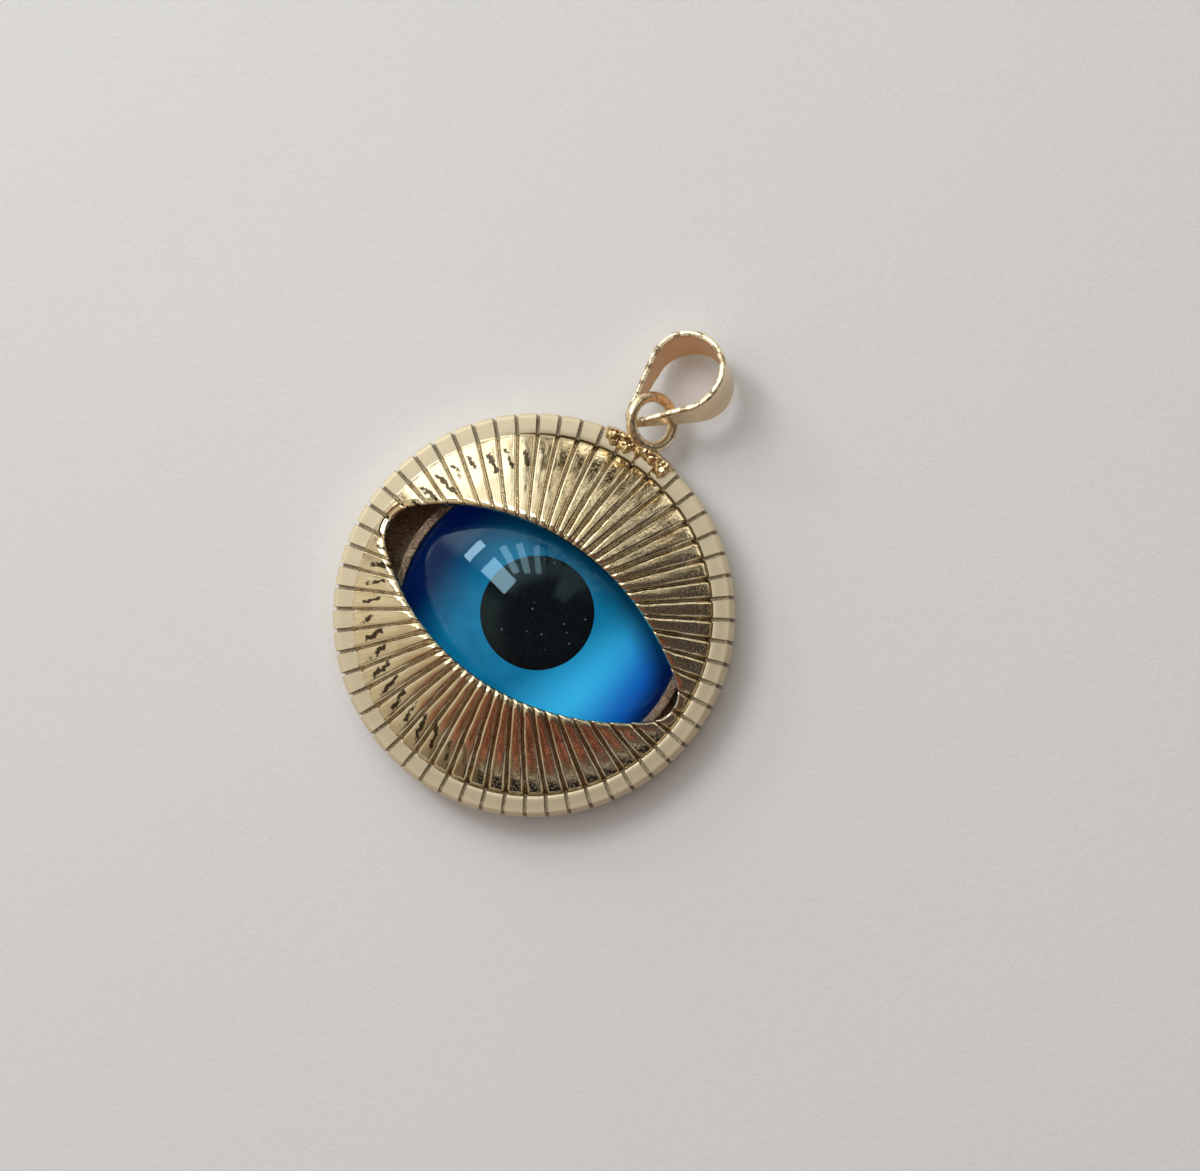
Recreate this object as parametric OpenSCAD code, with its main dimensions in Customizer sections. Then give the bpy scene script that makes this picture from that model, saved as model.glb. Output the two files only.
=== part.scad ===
// Round evil eye pendant: a fluted gold case with an almond opening over a
// domed glass eye, a soldered ring at its edge and a loose teardrop bail.
// Millimetres. The case lies on its back, Z up, with +X along the eye and +Y
// towards the ring.

/* [Case] */
// Diameter of the case
case_d = 20; // [18:0.5:24]
// Height of the flat rim above the back
rim_h = 2.2; // [2:0.1:2.4]
// Width of the flat band round the rim
band_w = 1; // [0.7:0.05:1.1]
// Height that the dome would reach at its centre
crown_h = 5.7; // [5.3:0.1:6.2]
// Thickness of the domed metal
wall = 0.5; // [0.45:0.05:0.6]

/* [Flutes] */
// Number of flutes round the case
flutes = 56; // [40:1:60]
// Width of the groove between two flutes
groove_w = 0.22; // [0.15:0.01:0.3]
// Depth of the groove below the flutes
groove_d = 0.2; // [0.1:0.02:0.24]
// Depth of the notch that each groove makes in the outer edge
notch_d = 0.24; // [0.2:0.02:0.45]
// Angle of the first groove from the corner of the eye
groove_turn = -0.46; // [-3:0.02:3]

/* [Opening] */
// Length of the almond opening
open_l = 16.8; // [15:0.2:17]
// Width of the almond opening between the lids
open_h = 7.9; // [6:0.1:9]
// Fullness of the lids, where 1 runs to sharp corners
lid_full = 1.13; // [1.04:0.01:1.2]
// Width of the plain lip round the opening
lip_w = 0.2; // [0.12:0.02:0.4]

/* [Eye] */
// Distance from the edge of the glass, if centred, to the outside of the case
glass_in = 2.95; // [2.8:0.05:3.5]
// Height of the glass dome's top above the back of the case
glass_top = 5; // [4.4:0.1:5.1]
// Diameter of the pupil
pupil_d = 5; // [3:0.2:8]
// Distance of the pupil from the middle of the glass, along the eye
pupil_x = -0.27; // [-1:0.01:1]
// Distance of the pupil from the middle of the glass, across the eye
pupil_y = 0.19; // [-1:0.01:1]
// Distance of the glass from the middle of the case, along the eye
eye_shift = 0.5; // [0:0.05:0.6]

/* [Seat] */
// Thickness of the back plate
plate_t = 0.7; // [0.5:0.05:0.8]
// Thickness of the raised seat wall round the glass
seat_wall = 0.5; // [0.35:0.05:0.55]
// Height of the seat wall's top above the back of the case
seat_h = 2.05; // [1.8:0.05:2.1]

/* [Ring and bail] */
// Outer diameter of the soldered ring
ring_d = 3.06; // [2.9:0.02:3.2]
// Diameter of the ring's wire
wire_d = 0.56; // [0.45:0.01:0.57]
// Length of the bail's loop
bail_l = 5.8; // [5:0.1:7]
// Width of the bail's loop
bail_w = 4.1; // [3.8:0.02:4.3]
// Width of the bail's strip at its wide end
strip_w = 2.7; // [2.4:0.1:2.8]
// Thickness of the bail's strip
strip_t = 0.25; // [0.2:0.01:0.26]

/* [Hidden] */
$fn = 96;
over = 1;
fit_gap = 0.05;
layer_gap = 0.03;

case_r = case_d / 2;
band_r = case_r - band_w;
rim_wall = 1.4;
hollow_r = case_r - rim_wall;
edge_r = 0.3;
foot_step = 0.15;

// The dome is a sphere that stands on the step inside the band.
foot_z = rim_h - foot_step;
dome_rise = crown_h - foot_z;
dome_r = (band_r * band_r + dome_rise * dome_rise) / (2 * dome_rise);
dome_z = crown_h - dome_r;

// Each lid is an arc, and a small arc rounds each corner of the opening.
half_l = open_l / 2;
half_h = open_h / 2;
sharp_r = (half_l * half_l + half_h * half_h) / (2 * half_h);
lid_r = lid_full * sharp_r;
lid_drop = lid_r - half_h;
corner_r = (lid_r * lid_r - lid_drop * lid_drop - half_l * half_l) / (2 * (lid_r - half_l));
corner_x = half_l - corner_r;
corner_end = lid_r * corner_x / (lid_r - corner_r);

// The back plate laps the rim's underside, and the eye is stacked on it.
plate_lap = 0.6;
plate_r = hollow_r + plate_lap;
plate_top = plate_t - layer_gap;
glass_r = case_r - glass_in;
seat_r = glass_r + fit_gap;
iris_z = plate_t + layer_gap;
iris_t = 0.4;
pupil_z = iris_z + iris_t + layer_gap;
pupil_t = 0.1;
glass_z = pupil_z + pupil_t + layer_gap;
girdle_drop = 0.1;
girdle_z = seat_h - girdle_drop;
glass_rise = glass_top - girdle_z;
glass_dome_r = (glass_r * glass_r + glass_rise * glass_rise) / (2 * glass_rise);

// The bail rolls to one side and rests on its lower edge.
bail_roll = 15.2;
bail_pitch = 3.1;
bail_az = 69.4;
wire_r = wire_d / 2;
ring_r = ring_d / 2 - wire_r;
hole_r = ring_r - wire_r;
tip_r = 0.515 * hole_r;
tip_w = 0.485 * hole_r;
taper_l = 4.4;
loop_r = bail_w / 2;
loop_x = bail_l - loop_r;
side_a = asin((loop_r - tip_r) / (loop_x - tip_r));
tuck = 0.01;

// The bail's lowest point, at low_x from its tip. The strip grows by strip_k.
strip_k = (strip_w - tip_w) / taper_l;
sink = sin(bail_pitch);
side_sink = sin(bail_roll) * cos(bail_pitch);
edge_sink = cos(bail_roll) * cos(bail_pitch);
grow_sink = sink + strip_k / 2 * edge_sink;
grow_x = loop_x + loop_r * grow_sink / norm([grow_sink, side_sink]);
flat_x = loop_x + loop_r * sink / norm([sink, side_sink]);
low_x = max(flat_x, min(grow_x, taper_l));
low_y = sqrt(loop_r * loop_r - (low_x - loop_x) * (low_x - loop_x));
low_w = tip_w + strip_k * min(low_x, taper_l);
rest_gap = 0.02;
tip_z = rest_gap + low_x * sink + low_y * side_sink + low_w / 2 * edge_sink;

// The ring bites into the rim at the bail's height. It leans with its -X side
// up, so that one side of the bail passes over its wire and the other under it.
ring_tilt = 35.3;
ring_lean = 16.1;
ring_bite = 0.03;
ring_x = -0.26;
ring_y = case_r + ring_r - ring_bite;
ring_z = tip_z - 0.085 * hole_r;
tip_x = ring_x - 1.042 * hole_r;
tip_y = ring_y - 0.72 * hole_r;
solder_az = 91.3;
solder_w = 17;
solder_in = 0.62;
solder_t = 0.08;

// Half of the rim's section, with its outer edges rounded.
module rim_section() {
    translate([hollow_r, edge_r]) square([rim_wall, rim_h - 2 * edge_r]);
    translate([hollow_r, 0]) square([rim_wall - edge_r, rim_h]);
    translate([case_r - edge_r, edge_r]) circle(r = edge_r);
    translate([case_r - edge_r, rim_h - edge_r]) circle(r = edge_r);
}

// Half disc under the dome's curve, sunk by depth.
module dome_section(depth) {
    intersection() {
        translate([0, dome_z]) circle(r = dome_r - depth);
        square([band_r, crown_h]);
    }
}

module case_section() {
    difference() {
        union() {
            difference() {
                rim_section();
                translate([0, foot_z]) square([band_r, crown_h]);
            }
            dome_section(0);
        }
        intersection() {
            translate([0, dome_z]) circle(r = dome_r - wall);
            square([hollow_r, crown_h]);
        }
        translate([0, -over]) square([plate_r, plate_t + over]);
    }
}

// The almond outline of the opening, grown by grow on all sides.
module almond(grow) {
    intersection() {
        translate([0, -lid_drop]) circle(r = lid_r + grow);
        translate([0, lid_drop]) circle(r = lid_r + grow);
        square([2 * corner_end, open_l], center = true);
    }
    for (side = [-1, 1]) translate([side * corner_x, 0]) circle(r = corner_r + grow);
}

// One groove: everything above the grooves' floor, in a thin radial slice.
module groove() {
    rotate([90, 0, 0]) linear_extrude(groove_w, center = true) difference() {
        translate([half_h / 2, -over]) square([case_r, crown_h + 2 * over]);
        dome_section(groove_d);
        square([case_r - notch_d, rim_h - groove_d]);
    }
}

module grooves() {
    difference() {
        for (i = [0 : flutes - 1]) rotate([0, 0, i * 360 / flutes]) groove();
        rotate([0, 0, -groove_turn]) translate([0, 0, -2 * over])
            linear_extrude(crown_h + 4 * over) almond(lip_w);
    }
}

module solder() {
    rotate([0, 0, solder_az - solder_w / 2]) rotate_extrude(angle = solder_w)
        translate([case_r - solder_in, rim_h - 2 * groove_d])
        square([solder_in - solder_t, 2 * groove_d + solder_t]);
}

module ring() {
    translate([ring_x, ring_y, ring_z]) rotate([-ring_lean, ring_tilt, 0])
        rotate_extrude() translate([ring_r, 0]) circle(r = wire_r);
}

// The fluted case, with its ring soldered to the rim.
module case() {
    color("goldenrod") {
        difference() {
            rotate([0, 0, groove_turn]) difference() {
                rotate_extrude() case_section();
                grooves();
            }
            translate([0, 0, -over]) linear_extrude(crown_h + 2 * over) almond(0);
        }
        solder();
        ring();
    }
}

// Back plate with the round seat wall that holds the glass.
module seat() {
    color("darkgoldenrod") {
        cylinder(r = plate_r - fit_gap, h = plate_top);
        translate([eye_shift, 0, 0]) difference() {
            cylinder(r = seat_r + seat_wall, h = seat_h);
            translate([0, 0, plate_top]) cylinder(r = seat_r, h = seat_h);
        }
    }
}

module iris() {
    color("dodgerblue") translate([eye_shift, 0, iris_z]) cylinder(r = glass_r, h = iris_t);
}

module pupil() {
    color("black") translate([eye_shift + pupil_x, pupil_y, pupil_z])
        cylinder(d = pupil_d, h = pupil_t);
}

module eye_glass() {
    color("lightblue", 0.5) translate([eye_shift, 0, 0]) rotate_extrude() intersection() {
        translate([0, glass_top - glass_dome_r]) circle(r = glass_dome_r);
        translate([0, glass_z]) square([glass_r, glass_top]);
    }
}

// Solid teardrop with its tip at the origin and its long axis along X. The
// straight sides are tucked a little inside the tangents, to cross both arcs.
module teardrop(inset, tall) {
    big = loop_r - inset;
    small = tip_r - inset;
    big_side = (big - tuck) * [sin(side_a), cos(side_a)];
    small_side = (small - tuck) * [sin(side_a), cos(side_a)];
    translate([loop_x, 0, -tall / 2]) cylinder(r = big, h = tall);
    translate([tip_r, 0, -tall / 2]) cylinder(r = small, h = tall);
    linear_extrude(tall, center = true) polygon([
        [tip_r - small_side.x, small_side.y],
        [loop_x - big_side.x, big_side.y],
        [loop_x - big_side.x, -big_side.y],
        [tip_r - small_side.x, -small_side.y]
    ]);
}

// Side outline of the strip, which widens from the tip to the wide end.
module strip_outline() {
    polygon([
        [-over, -tip_w / 2],
        [0, -tip_w / 2],
        [taper_l, -strip_w / 2],
        [bail_l + over, -strip_w / 2],
        [bail_l + over, strip_w / 2],
        [taper_l, strip_w / 2],
        [0, tip_w / 2],
        [-over, tip_w / 2]
    ]);
}

// Loose bail of bent strip, through the ring and resting on one edge.
module bail() {
    color("gold") translate([tip_x, tip_y, tip_z]) rotate([0, 0, bail_az])
        rotate([-bail_roll, bail_pitch, 0]) intersection() {
            difference() {
                teardrop(0, strip_w + over);
                teardrop(strip_t, strip_w + 2 * over);
            }
            rotate([90, 0, 0]) linear_extrude(bail_w + over, center = true) strip_outline();
        }
}

case();
seat();
iris();
pupil();
eye_glass();
bail();
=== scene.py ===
import bpy
import math
import numpy as np
from mathutils import Matrix, Vector


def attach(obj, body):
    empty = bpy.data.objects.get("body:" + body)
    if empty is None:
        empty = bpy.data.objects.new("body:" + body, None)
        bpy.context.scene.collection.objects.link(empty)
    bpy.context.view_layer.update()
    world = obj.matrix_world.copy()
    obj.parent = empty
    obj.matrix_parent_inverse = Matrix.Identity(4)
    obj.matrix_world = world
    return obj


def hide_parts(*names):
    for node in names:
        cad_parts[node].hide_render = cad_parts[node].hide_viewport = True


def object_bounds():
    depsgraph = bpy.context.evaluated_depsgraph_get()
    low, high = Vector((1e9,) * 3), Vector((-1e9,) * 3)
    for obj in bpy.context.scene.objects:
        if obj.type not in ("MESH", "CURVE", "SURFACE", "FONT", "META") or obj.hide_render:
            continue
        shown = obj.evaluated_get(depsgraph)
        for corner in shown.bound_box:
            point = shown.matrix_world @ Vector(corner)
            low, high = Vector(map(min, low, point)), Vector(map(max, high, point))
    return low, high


# Fluted gold pendant with a glass eye. Lengths in the code are millimetres and
# become metres only where a mesh, light or camera is made. Angles round the case
# are measured from its long axis, +X; the photo is turned by VIEW_TURN.
MM = 0.001
VIEW_TURN = 33.3

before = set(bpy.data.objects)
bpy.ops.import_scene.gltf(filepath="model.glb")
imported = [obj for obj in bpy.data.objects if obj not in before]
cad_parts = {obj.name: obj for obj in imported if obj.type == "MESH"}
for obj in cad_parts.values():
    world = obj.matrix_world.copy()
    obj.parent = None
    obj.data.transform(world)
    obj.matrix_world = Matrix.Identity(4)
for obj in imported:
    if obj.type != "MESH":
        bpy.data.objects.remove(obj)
cad_lo, cad_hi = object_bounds()


def lerp(a, b, t):
    return a + (b - a) * t


def ramp(x, lo, hi):
    t = np.clip((x - lo) / (hi - lo), 0, 1)
    return t * t * (3 - 2 * t)


def hashed(*keys):
    """Repeatable noise in 0..1 from whole numbers."""
    total = 0.0
    for i, key in enumerate(keys):
        total = total + np.asarray(key, float) * (12.9898 + 65.233 * i)
    return np.mod(np.abs(np.sin(total) * 43758.5453), 1.0)


def smooth_noise(x, y, seed):
    """Value noise of two numbers, -1..1."""
    xi, yi = np.floor(x), np.floor(y)
    fx, fy = ramp(x - xi, 0, 1), ramp(y - yi, 0, 1)
    a = lerp(hashed(xi, yi, seed), hashed(xi + 1, yi, seed), fx)
    b = lerp(hashed(xi, yi + 1, seed), hashed(xi + 1, yi + 1, seed), fx)
    return 2 * lerp(a, b, fy) - 1


# Meshes

def make_piece(name, points, faces, stands_for, crease=50, attributes=None):
    """A mesh piece from points in millimetres, riding on the root body."""
    mesh = bpy.data.meshes.new(name)
    mesh.from_pydata((np.asarray(points) * MM).tolist(), [], faces)
    mesh.validate()
    mesh.shade_smooth()
    mesh.set_sharp_from_angle(angle=math.radians(crease))
    for key, values in (attributes or {}).items():
        values = np.asarray(values, float)
        kind = "FLOAT_VECTOR" if values.ndim == 2 else "FLOAT"
        layer = mesh.attributes.new(key, kind, "POINT")
        layer.data.foreach_set("vector" if values.ndim == 2 else "value", values.ravel())
    piece = bpy.data.objects.new(name, mesh)
    bpy.context.scene.collection.objects.link(piece)
    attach(piece, "root")
    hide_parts(*stands_for)
    return piece


def wrap_faces(rows, cols, wrap_rows=True, wrap_cols=True):
    """Quads of a grid of rows x cols points that closes on itself."""
    faces = []
    for i in range(rows if wrap_rows else rows - 1):
        a, b = i * cols, (i + 1) % rows * cols
        for j in range(cols if wrap_cols else cols - 1):
            k = (j + 1) % cols
            faces.append((a + j, a + k, b + k, b + j))
    return faces


def lathe(name, profile, centre, count, stands_for, rough=0.0, seed=0):
    """Surface of revolution round a vertical axis, from a profile that starts and
    ends on the axis. rough moves the points by smooth noise."""
    turn = np.arange(count) * 2 * math.pi / count
    points, rows = [], []
    for i, (r, z) in enumerate(profile):
        if r < 1e-6:
            rows.append([len(points)])
            points.append((centre[0], centre[1], z))
            continue
        share = turn / (2 * math.pi)
        shift = rough * smooth_noise(share * 160, np.full(count, i * 0.9), seed)
        lift = rough * smooth_noise(share * 90, np.full(count, i * 0.7), seed + 5)
        rows.append(list(range(len(points), len(points) + count)))
        points += list(zip(
            centre[0] + (r + shift) * np.cos(turn),
            centre[1] + (r + shift) * np.sin(turn),
            z + lift,
        ))
    faces = []
    for low, high in zip(rows, rows[1:]):
        for j in range(count):
            k = (j + 1) % count
            if len(low) == 1:
                faces.append((low[0], high[k], high[j]))
            elif len(high) == 1:
                faces.append((low[j], low[k], high[0]))
            else:
                faces.append((low[j], low[k], high[k], high[j]))
    return make_piece(name, points, faces, stands_for)


# Sizes of the case, as in the part's source
CASE_R = 10.0
RIM_H = 2.2
BAND_R = 9.0
STEP_R = 8.985
EDGE_R = 0.3
FOOT_Z = 2.05
CROWN_H = 5.7
WALL = 0.5
HOLLOW_R = 8.6
PLATE_R = 9.2
PLATE_T = 0.7
FLUTES = 56
GROOVE_TURN = -0.46
GROOVE_D = 0.2
NOTCH_D = 0.24
HALF_L = 8.4
HALF_H = 3.95
LIP_W = 0.42
LIP_DROP = 0.38
DOME_RISE = CROWN_H - FOOT_Z
DOME_R = (BAND_R ** 2 + DOME_RISE ** 2) / (2 * DOME_RISE)
DOME_Z = CROWN_H - DOME_R
LID_R = 1.13 * (HALF_L ** 2 + HALF_H ** 2) / (2 * HALF_H)
LID_DROP = LID_R - HALF_H
CORNER_R = (LID_R ** 2 - LID_DROP ** 2 - HALF_L ** 2) / (2 * (LID_R - HALF_L))
CORNER_X = HALF_L - CORNER_R
CORNER_END = LID_R * CORNER_X / (LID_R - CORNER_R)

# Detail of the scene alone: half widths of a groove's dark line, of its rounded
# shoulders (also the narrower ones at the upper left), of its cut and of the slot
# in the band, the cut's depth, and how far the band falls outwards
GROOVE_HALF = 0.11
SHOULDER = 0.2
NARROW_SHOULDER = 0.13
SHOULDER_SLOPE = 0.85
SHOULDER_POWER = 1.25
CUT_HALF = 0.075
CUT_D = 0.08
SLOT_HALF = 0.105
BAND_FALL = 0.035
# Side away from the ring where the plates rise to the band, and the upper left,
# as angles round the case
BLEND_SIDE = 198
UPPER_LEFT = 163


def almond_radius(turn, grow):
    """Distance from the middle to the eye's outline, grown by grow."""
    c, s = np.abs(np.cos(turn)), np.abs(np.sin(turn))
    lid = LID_R + grow
    along = -LID_DROP * s + np.sqrt((LID_DROP * s) ** 2 - LID_DROP ** 2 + lid ** 2)
    small = CORNER_R + grow
    under = (CORNER_X * c) ** 2 - CORNER_X ** 2 + small ** 2
    round_end = CORNER_X * c + np.sqrt(np.maximum(under, 0))
    return np.where(along * c <= CORNER_END, along, round_end)


def dome_height(r, depth=0.0):
    return DOME_Z + np.sqrt(np.maximum((DOME_R - depth) ** 2 - r ** 2, 0.01))


# The case: one closed skin, wrapped round its section and round the case

def case_columns():
    """Each column is an offset from the centre of a groove, or a share of the
    flat between two grooves."""
    half = [0.03, 0.055, 0.08, 0.105, 0.13, 0.165, SHOULDER]
    offsets = [-x for x in half[::-1]] + [0.0] + half
    flats = [0.1, 0.3, 0.5, 0.7, 0.9]
    columns = []
    for k in range(FLUTES):
        columns += [(k, "groove", p) for p in offsets]
        columns += [(k, "flat", q) for q in flats]
    return columns


# Section of the step inside the band: share inwards and share down
STEP_SHAPE = {
    0.1: (0.4, 0.03), 0.2: (0.55, 0.1), 0.3: (0.6, 0.6), 0.5: (0.65, 0.96), 1.0: (1.0, 1.0),
}


def case_rows():
    """Section rows as (zone, value), from the back's inner edge outwards, over the
    top to the opening and back along the inside."""
    rows = [("back", t) for t in (0.0, 0.5, 1.0)]
    rows += [("low_edge", t) for t in np.linspace(0.15, 1, 6)]
    rows += [("side", t) for t in (0.3, 0.65, 1.0)]
    rows += [("top_edge", t) for t in np.linspace(0.12, 1, 8)]
    rows += [("band", t) for t in (0.25, 0.55, 0.7, 0.85, 1.0)]
    rows += [("step", t) for t in STEP_SHAPE]
    rows += [("dome", t) for t in (0.02, 0.05, *np.linspace(0.09, 1, 25))]
    rows += [("lip", t) for t in (0.13, 0.26, 0.38, 0.5, 0.6, 0.7, 0.83, 1.0)]
    rows += [("wall", t) for t in (0.2, 0.6, 1.0)]
    rows += [("under", t) for t in (0.15, 0.3, 0.5, 0.7, 0.85, 1.0)]
    rows += [("hollow", t) for t in (0.5, 1.0)]
    rows += [("shoulder", t) for t in (0.5, 1.0)]
    rows += [("recess", t) for t in (0.5, 0.97)]
    return rows


def blended(turn):
    """1 on the side where the plates run up to the band, 0 where a step parts them."""
    return ramp(np.cos(turn - math.radians(BLEND_SIDE)), 0.0, 0.6)


def edge_fall(turn):
    """Drop of the band's inner edge where it has a step."""
    return 0.03 * (1 - blended(turn))


def foot_lift(r, turn):
    """Rise of the plates' outer ends up to the band, where they blend."""
    start = 7.75 + 0.25 * smooth_noise(turn * 11, turn * 0, 61)
    return 0.15 * blended(turn) * ramp((r - start) / (BAND_R - start), 0, 1)


def section_point(zone, t, turn):
    """Radius and height of a section row at each angle, before the grooves."""
    flat = np.ones_like(turn)
    lip_out = almond_radius(turn, LIP_W)
    lip_in = almond_radius(turn, 0)
    round_r, round_z = CASE_R - EDGE_R, RIM_H - BAND_FALL - EDGE_R
    a = t * math.pi / 2
    if zone == "back":
        return lerp(PLATE_R, round_r, t) * flat, 0 * flat
    if zone == "low_edge":
        return (round_r + EDGE_R * math.sin(a)) * flat, (EDGE_R - EDGE_R * math.cos(a)) * flat
    if zone == "side":
        return CASE_R * flat, lerp(EDGE_R, round_z, t) * flat
    if zone == "top_edge":
        return (round_r + EDGE_R * math.cos(a)) * flat, (round_z + EDGE_R * math.sin(a)) * flat
    if zone == "band":
        r = lerp(round_r, BAND_R + 0.01, t)
        fall = BAND_FALL * (r - BAND_R) / (round_r - BAND_R)
        return r * flat, RIM_H - fall - edge_fall(turn) * ramp(BAND_R + 0.15 - r, 0, 0.15)
    if zone == "step":
        inwards, down = STEP_SHAPE[t]
        r = lerp(BAND_R + 0.01, STEP_R, inwards) * flat
        foot = dome_height(STEP_R * flat) + foot_lift(STEP_R, turn)
        return r, lerp(RIM_H - edge_fall(turn), foot, down)
    if zone == "dome":
        r = lerp(STEP_R * flat, lip_out, t)
        return r, dome_height(r) + foot_lift(r, turn)
    if zone == "lip":
        r = lerp(lip_out, lip_in, math.sin(a))
        return r, dome_height(r) - LIP_DROP * (1 - math.cos(a))
    if zone == "wall":
        top = dome_height(lip_in) - LIP_DROP
        return lip_in, lerp(top, dome_height(lip_in, WALL), t)
    if zone == "under":
        r = lerp(lip_in, HOLLOW_R, t)
        return r, dome_height(r, WALL)
    if zone == "hollow":
        high = dome_height(HOLLOW_R * flat, WALL)
        return HOLLOW_R * flat, lerp(high, PLATE_T, t)
    if zone == "shoulder":
        return lerp(HOLLOW_R, PLATE_R, t) * flat, PLATE_T * flat
    return PLATE_R * flat, lerp(PLATE_T, 0.0, t) * flat


# How satin each zone of the case is: the others are polished
RIM_ZONES = {
    "back": 1.0, "low_edge": 1.3, "side": 1.6, "top_edge": 1.3, "band": 1.0,
    "under": 1.0, "step": 1.0, "hollow": 1.0, "shoulder": 1.0, "recess": 1.0,
}


def build_case():
    columns, rows = case_columns(), case_rows()
    sector = np.array([c[0] for c in columns])
    in_groove = np.array([c[1] == "groove" for c in columns])
    place = np.array([c[2] for c in columns])
    step = 2 * math.pi / FLUTES
    middle = np.radians(GROOVE_TURN) + sector * step
    points, groove_and_shade_share, rim_share, lane = [], [], [], []
    outer = ("back", "low_edge", "side", "top_edge", "band", "step", "dome", "lip")
    side_of_groove = np.where(in_groove, np.where(place < 0, 1, 0), place)
    across_plate = 2 * side_of_groove - 1
    flute = sector + np.where(in_groove & (place < 0), -1, 0)
    far = np.abs(place)
    share = np.where(in_groove, np.clip(1 - (far / GROOVE_HALF) ** 2, 0, 1), 0)
    # The groove on the band: steep walls
    slot = np.where(in_groove, ramp(SLOT_HALF - far, 0, 0.025), 0)
    for zone, t in rows:
        turn = middle + np.where(in_groove, 0, place * step)
        for _ in range(4):
            r, z = section_point(zone, t, turn)
            edge = np.arcsin(SHOULDER / r)
            offset = np.arcsin(np.clip(place / r, -1, 1))
            turn = middle + np.where(in_groove, offset, lerp(edge, step - edge, place))
        r, z = section_point(zone, t, turn)
        r, z = np.array(r, float), np.array(z, float)
        # The groove on the dome: rounded shoulders over a narrow cut
        narrow = ramp(np.cos(turn - math.radians(UPPER_LEFT)), 0.3, 0.8)
        wide = lerp(SHOULDER, NARROW_SHOULDER, narrow)
        slope = np.where(in_groove, np.maximum((wide - far) / (wide - CUT_HALF), 0), 0)
        reach = SHOULDER_SLOPE / SHOULDER_POWER * (wide - CUT_HALF)
        shoulder = reach * np.minimum(slope, 1) ** SHOULDER_POWER
        cut = np.where(in_groove, shoulder + CUT_D * ramp(CUT_HALF - far, 0, 0.045), 0)
        if zone in outer:
            wobble = 1 + 0.25 * smooth_noise(r * 2.2, sector * 7.3, 3)
            lean_r, lean_z = r / DOME_R, (z - DOME_Z) / DOME_R
            if zone in ("dome", "step"):
                half = ramp(r * step / 2 - SHOULDER, 0, 0.25)
                pillow = -0.012 * across_plate ** 2 * half
                tilt = (2 * hashed(flute, 4) - 1) * 0.012
                tilt = tilt + 0.01 * smooth_noise(r * 0.9, flute * 5.3, 17)
                wave = 0.006 * smooth_noise(r * 1.6, flute * 3.1, 11)
                wave = wave + 0.002 * smooth_noise(r * 4.0, flute * 9.1 + side_of_groove * 2, 13)
                lift = pillow + half * tilt * across_plate + wave
                # None of it at the step and next to the lip
                inside = ramp(t, 0.03, 0.16) * (1 - ramp(t, 0.9, 1.0)) if zone == "dome" else 0
                total = lift * inside - cut * wobble
                r, z = r + total * lean_r, z + total * lean_z
            elif zone == "lip":
                depth = cut * wobble * (1 - 0.35 * t)
                # Beads along the lower lid
                bead = 0.03 * across_plate - 0.035 * across_plate ** 2
                bead = bead * ramp(-np.sin(turn), 0.1, 0.5) * math.sin(math.pi * min(t * 1.3, 1))
                depth = depth - bead
                r, z = r - depth * lean_r * (1 - t), z - depth * lean_z
            else:
                r = np.minimum(r, CASE_R - NOTCH_D * 0.9 * slot)
                if zone in ("top_edge", "band"):
                    out = ramp(r, 9.3, 10.0)
                    z = np.minimum(z, RIM_H - GROOVE_D * slot * (1 - 0.35 * out))
        points.append(np.stack([r * np.cos(turn), r * np.sin(turn), z], 1))
        mark = share if zone in ("dome", "lip", "step") else slot
        # Painted shade in the crease where a step parts the band from the plates, on the step
        # and at the plates' foot
        if zone == "step":
            mark = np.maximum(mark, ramp(t, 0.25, 0.5) * (1 - blended(turn)))
        if zone == "dome":
            mark = np.maximum(mark, ramp(0.045 - t, 0, 0.02) * (1 - blended(turn)))
        # The inner part of the upper lid's lip and the opening's wall are darker
        if zone == "lip":
            mark = np.maximum(mark, ramp(t, 0.45, 0.8) * ramp(np.sin(turn), 0.0, 0.3))
        if zone not in outer:
            mark = np.full(len(columns), 1.0 if zone == "wall" else 0.0)
        groove_and_shade_share.append(mark)
        satin = RIM_ZONES.get(zone, 0.0) * (1 - 0.7 * t if zone == "step" else 1)
        rim_share.append(np.full(len(columns), satin))
        in_cut = place + np.where(place < 0, r * step, 0)
        across = np.where(in_groove, in_cut, lerp(SHOULDER, r * step - SHOULDER, place))
        lane.append(np.stack([across, r, hashed(flute, 1.0) * 50], 1))
    faces = wrap_faces(len(rows), len(columns))
    return make_piece(
        "case_shell", np.concatenate(points), [f[::-1] for f in faces], ["case"],
        attributes={
            "cut": np.concatenate(groove_and_shade_share),
            "rim": np.concatenate(rim_share),
            "lane": np.concatenate(lane),
        },
    )


# Ring and solder

RING_R = 1.25
WIRE_R = 0.28
RING_AT = (-0.26, 11.22, 1.986)
RING_TILT = 35.3
RING_LEAN = 16.1
SOLDER_TURN = 90.2
SOLDER_HALF_TURN = 11.5
SOLDER_FOOT = 1.55


def build_ring():
    major, minor = 120, 28
    a = np.arange(major) * 2 * math.pi / major
    b = np.arange(minor) * 2 * math.pi / minor
    A, B = np.meshgrid(a, b, indexing="ij")
    wear = 0.008 * smooth_noise(A / (2 * math.pi) * 14, np.sin(B) * 1.2, 21)
    wire = WIRE_R - 0.006 + wear
    reach = RING_R + wire * np.cos(B)
    points = np.stack([reach * np.cos(A), reach * np.sin(A), wire * np.sin(B)], -1)
    tilt = Matrix.Rotation(math.radians(RING_TILT), 3, "Y")
    tilt = tilt @ Matrix.Rotation(math.radians(-RING_LEAN), 3, "X")
    points = points.reshape(-1, 3) @ np.array(tilt).T + np.array(RING_AT)
    return make_piece("ring", points, wrap_faces(major, minor), ["case"], crease=80)


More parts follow.
